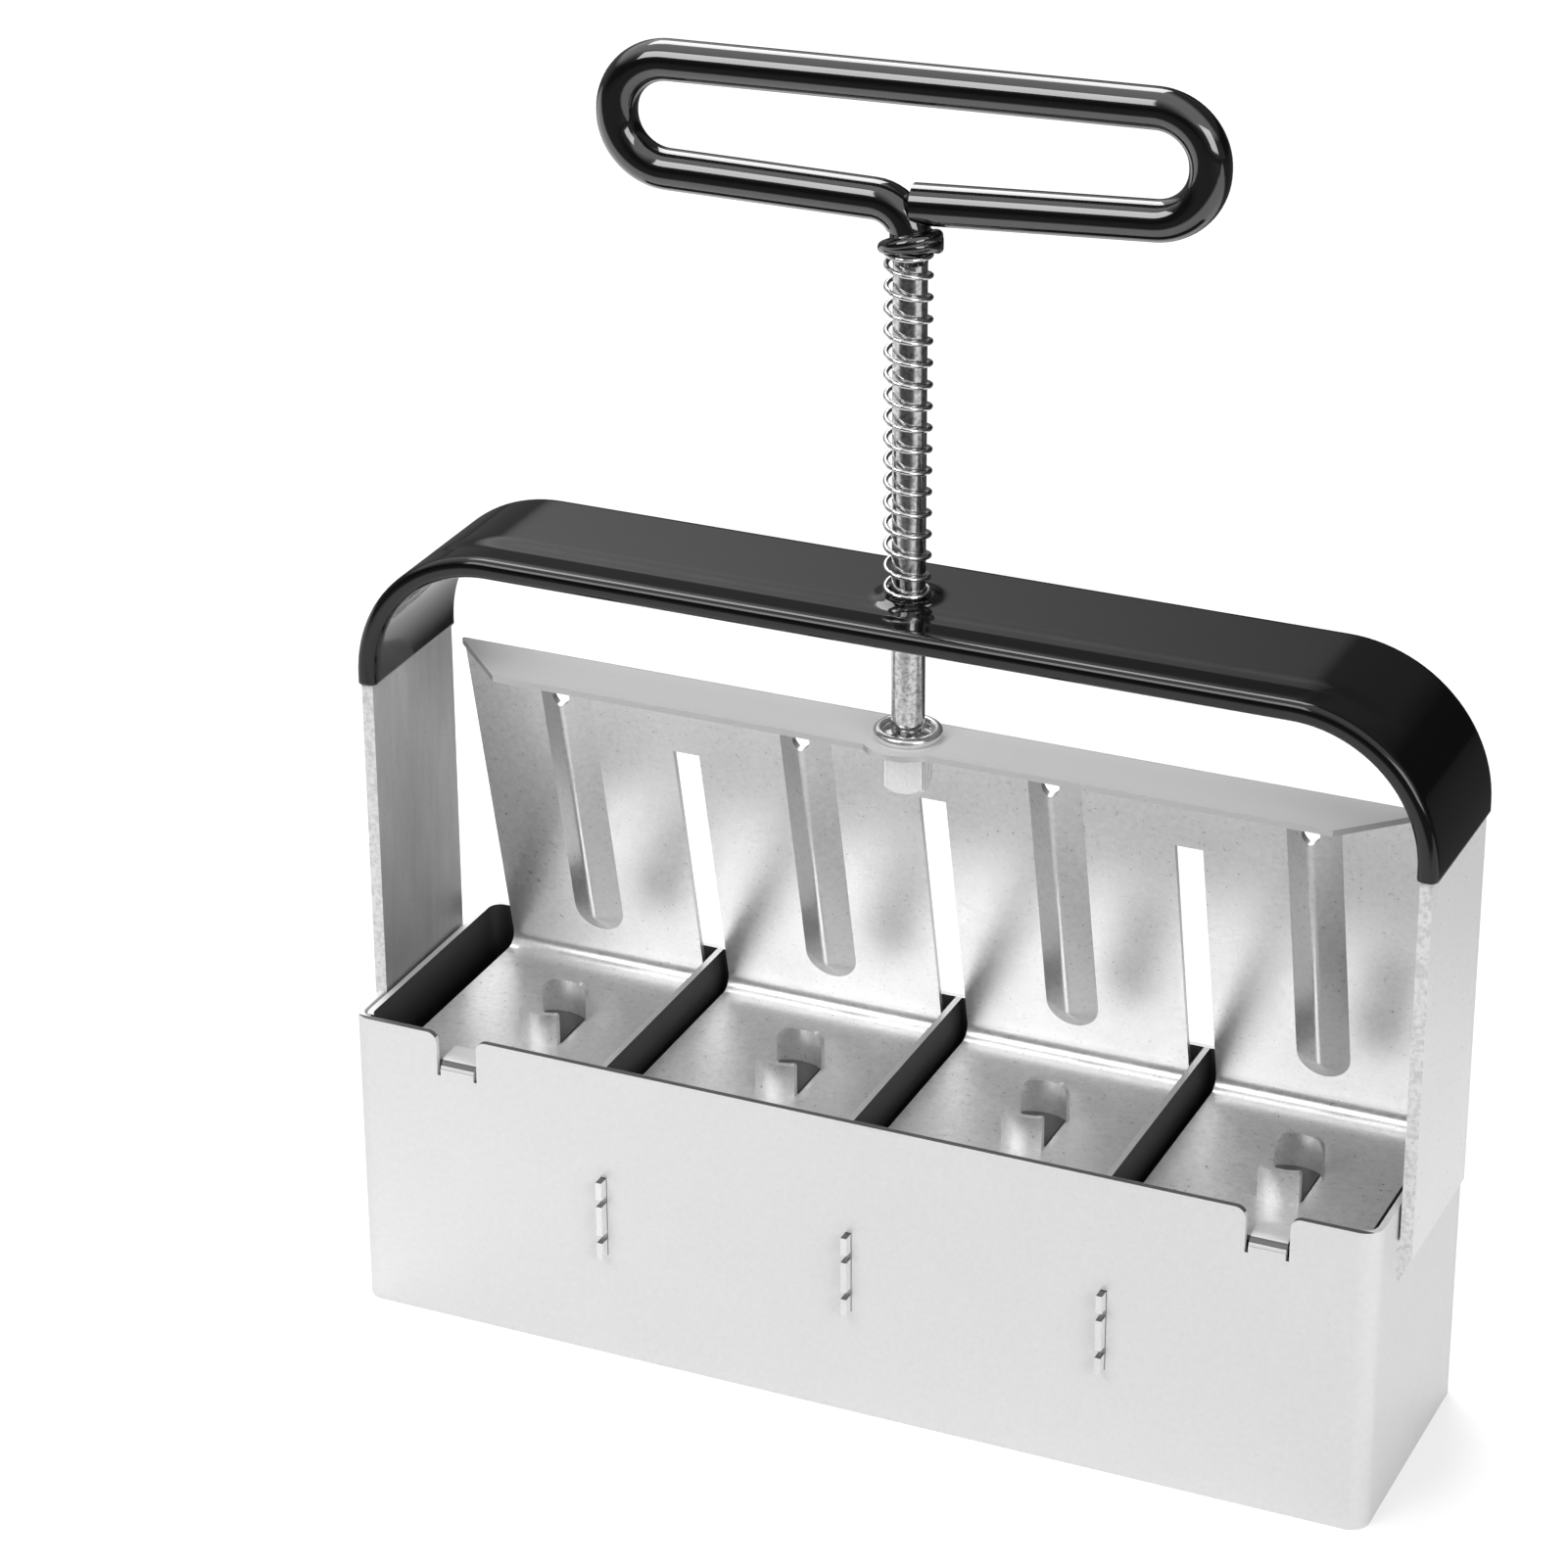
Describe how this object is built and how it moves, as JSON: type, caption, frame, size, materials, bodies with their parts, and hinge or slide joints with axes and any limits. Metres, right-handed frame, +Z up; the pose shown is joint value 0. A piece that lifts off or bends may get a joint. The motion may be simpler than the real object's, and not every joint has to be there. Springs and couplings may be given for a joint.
{
  "type": "soil blocker",
  "caption": "Hand soil blocker: an open sheet-metal case split into square cells, with a sprung plunger whose ejector plate pushes pressed soil blocks out.",
  "frame": {"origin": "middle of the case's lower cutting rim, on the surface it stands on", "axes": "+X along the row of cells, +Y from the front wall with the stop tabs to the back wall, +Z up the plunger rod"},
  "size_m": [0.213, 0.0598, 0.2586],
  "materials": {
    "case_steel": "satin galvanised sheet",
    "divider_steel": "satin galvanised sheet",
    "strap_steel": "satin galvanised strip",
    "strap_vinyl": "glossy dipped vinyl",
    "weld_steel": "coated weld bead",
    "spring_steel": "bright plated wire",
    "rod_steel": "bright drawn bar",
    "loop_vinyl": "glossy dipped vinyl",
    "washer_steel": "bright plated spring steel",
    "nut_zinc": "zinc plated",
    "ejector_steel": "satin galvanised sheet",
    "pin_plastic": "dark grey moulded plastic"
  },
  "bodies": {
    "case": {"case_shell": "case_steel", "divider_1": "divider_steel", "divider_2": "divider_steel", "divider_3": "divider_steel", "handle_strap": "strap_steel", "strap_grip": "strap_vinyl", "strap_weld_left": "weld_steel", "strap_weld_right": "weld_steel", "return_spring": "spring_steel"},
    "plunger": {"plunger_rod": "rod_steel", "loop_grip": "loop_vinyl", "spring_collar": "loop_vinyl", "push_on_washer": "washer_steel", "ejector_nut": "nut_zinc", "ejector_plate": "ejector_steel", "seed_pin_1": "pin_plastic", "seed_pin_2": "pin_plastic", "seed_pin_3": "pin_plastic", "seed_pin_4": "pin_plastic"}
  },
  "joints": [
    {"name": "plunger_press", "type": "slide", "parent": "case", "child": "plunger", "axis": [0, 0, 1], "range_m": [-0.045, 0], "stiffness_N_per_m": 800, "springref_m": 0.01, "deforming": ["return_spring"]}
  ]
}
